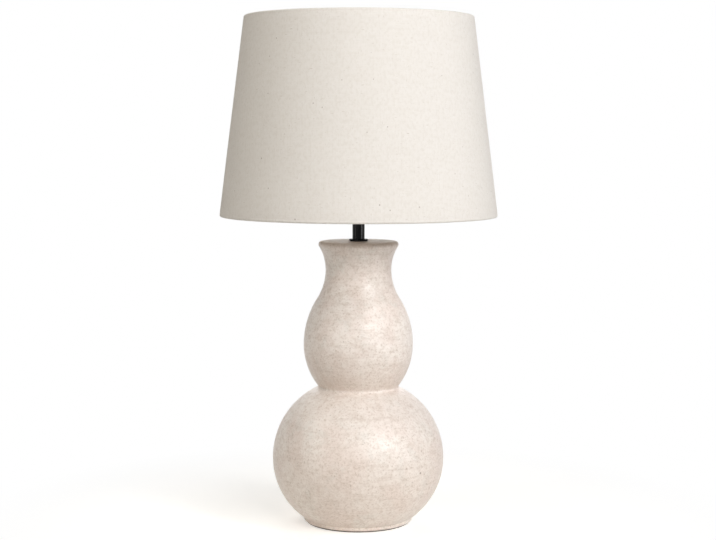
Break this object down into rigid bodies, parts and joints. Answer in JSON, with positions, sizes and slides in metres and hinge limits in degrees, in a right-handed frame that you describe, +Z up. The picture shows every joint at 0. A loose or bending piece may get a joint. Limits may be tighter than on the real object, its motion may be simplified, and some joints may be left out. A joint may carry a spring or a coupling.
{
  "type": "table lamp",
  "caption": "Table lamp with a hollow stoneware double gourd base, a black stem and lampholder, and a tapered linen shade that turns on a wire carrier.",
  "frame": {"origin": "centre of the felt's underside, on the lamp's vertical axis", "axes": "+Z up the stem; the pictured front looks along -Y; the flex leaves at the back, +Y; +X to the viewer's right"},
  "size_m": [0.3499, 0.35, 0.64],
  "materials": {
    "stoneware": "satin",
    "board": "matte",
    "felt": "matte",
    "black_rubber": "matte",
    "zinc_steel": "satin",
    "black_metal": "gloss",
    "black_plastic": "satin",
    "white_ceramic": "matte",
    "brass": "satin",
    "linen": "matte",
    "liner_sheet": "matte",
    "white_wire": "satin",
    "solder": "satin",
    "black_glass": "gloss",
    "nickel": "satin",
    "white_plastic": "satin",
    "opal_plastic": "satin"
  },
  "bodies": {
    "base": {"gourd_body": "stoneware", "base_cover": "board", "felt_pad": "felt", "cord_grommet": "black_rubber", "threaded_rod": "zinc_steel", "inner_gasket": "black_rubber", "clamp_washer": "zinc_steel", "lock_washer": "zinc_steel", "rod_nut": "zinc_steel", "neck_gasket": "black_rubber", "neck_flange": "black_metal", "stem_tube": "black_metal", "holder_cap": "black_plastic", "holder_lock_screw": "zinc_steel", "holder_core": "white_ceramic", "terminal_screws": "brass", "holder_shell": "black_plastic", "screw_shell": "brass", "centre_contact": "brass"},
    "shade": {"shade_cover": "linen", "shade_liner": "liner_sheet", "top_wire": "white_wire", "bottom_wire": "white_wire", "carrier_ring": "white_wire", "carrier_arms": "white_wire"},
    "shade_ring": {"clamp_ring": "black_plastic"},
    "bulb": {"bulb_tip": "solder", "bulb_insulator": "black_glass", "bulb_cap": "nickel", "bulb_housing": "white_plastic", "bulb_globe": "opal_plastic"}
  },
  "joints": [
    {"name": "shade_turn", "type": "hinge", "parent": "base", "child": "shade", "pos_m": [0, 0, 0.434], "axis": [0, 0, 1], "continuous": true},
    {"name": "shade_ring_turn", "type": "hinge", "parent": "base", "child": "shade_ring", "pos_m": [0, 0, 0.4359], "axis": [0, 0, 1], "range_deg": [0, 1440]},
    {"name": "bulb_turn", "type": "hinge", "parent": "base", "child": "bulb", "pos_m": [0, 0, 0.437], "axis": [0, 0, 1], "range_deg": [0, 1440]}
  ]
}
